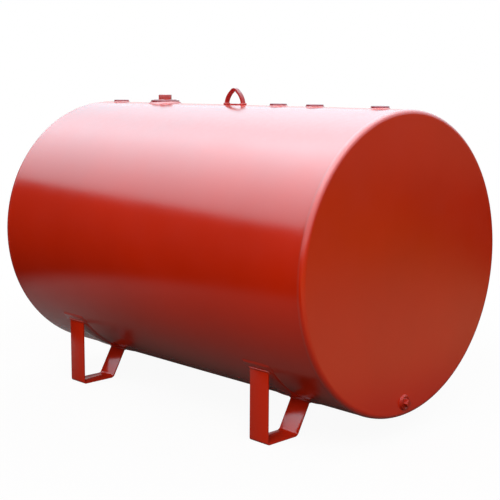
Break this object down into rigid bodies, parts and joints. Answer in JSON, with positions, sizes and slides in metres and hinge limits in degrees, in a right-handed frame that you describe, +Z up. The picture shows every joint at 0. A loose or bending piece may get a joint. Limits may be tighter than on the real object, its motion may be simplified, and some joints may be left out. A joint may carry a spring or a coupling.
{
  "type": "horizontal storage tank",
  "caption": "Horizontal cylindrical steel storage tank with flat flanged heads, bent strip legs on wear pads, plugged threaded fittings, a drain plug and a lifting loop.",
  "frame": {"origin": "on the floor below the middle of the tank", "axes": "+X along the tank to the head with the drain plug, +Z up, -Y the side seen in the picture"},
  "size_m": [1.868, 1.172, 1.3247],
  "materials": {
    "shell_paint": "semi-gloss",
    "leg_paint": "semi-gloss",
    "fitting_paint": "semi-gloss",
    "plug_paint": "semi-gloss",
    "weld_paint": "semi-gloss"
  },
  "bodies": {
    "root": {"drain_fitting": "fitting_paint", "drain_fitting_weld": "weld_paint", "drain_plug": "plug_paint", "fitting_welds": "weld_paint", "front_far_leg": "leg_paint", "front_far_leg_weld": "weld_paint", "front_far_wear_pad": "leg_paint", "front_fitting": "fitting_paint", "front_fitting_plug": "plug_paint", "front_head": "shell_paint", "front_head_weld": "weld_paint", "front_near_leg": "leg_paint", "front_near_leg_weld": "weld_paint", "front_near_wear_pad": "leg_paint", "large_fitting": "fitting_paint", "large_fitting_plug": "plug_paint", "lifting_loop": "fitting_paint", "lifting_loop_pad": "leg_paint", "lifting_loop_weld": "weld_paint", "middle_fitting": "fitting_paint", "middle_fitting_plug": "plug_paint", "middle_front_fitting": "fitting_paint", "middle_front_fitting_plug": "plug_paint", "rear_far_leg": "leg_paint", "rear_far_leg_weld": "weld_paint", "rear_far_wear_pad": "leg_paint", "rear_fitting": "fitting_paint", "rear_fitting_plug": "plug_paint", "rear_head": "shell_paint", "rear_head_weld": "weld_paint", "rear_near_leg": "leg_paint", "rear_near_leg_weld": "weld_paint", "rear_near_wear_pad": "leg_paint", "shell": "shell_paint", "shell_seam_weld": "weld_paint"}
  },
  "joints": []
}
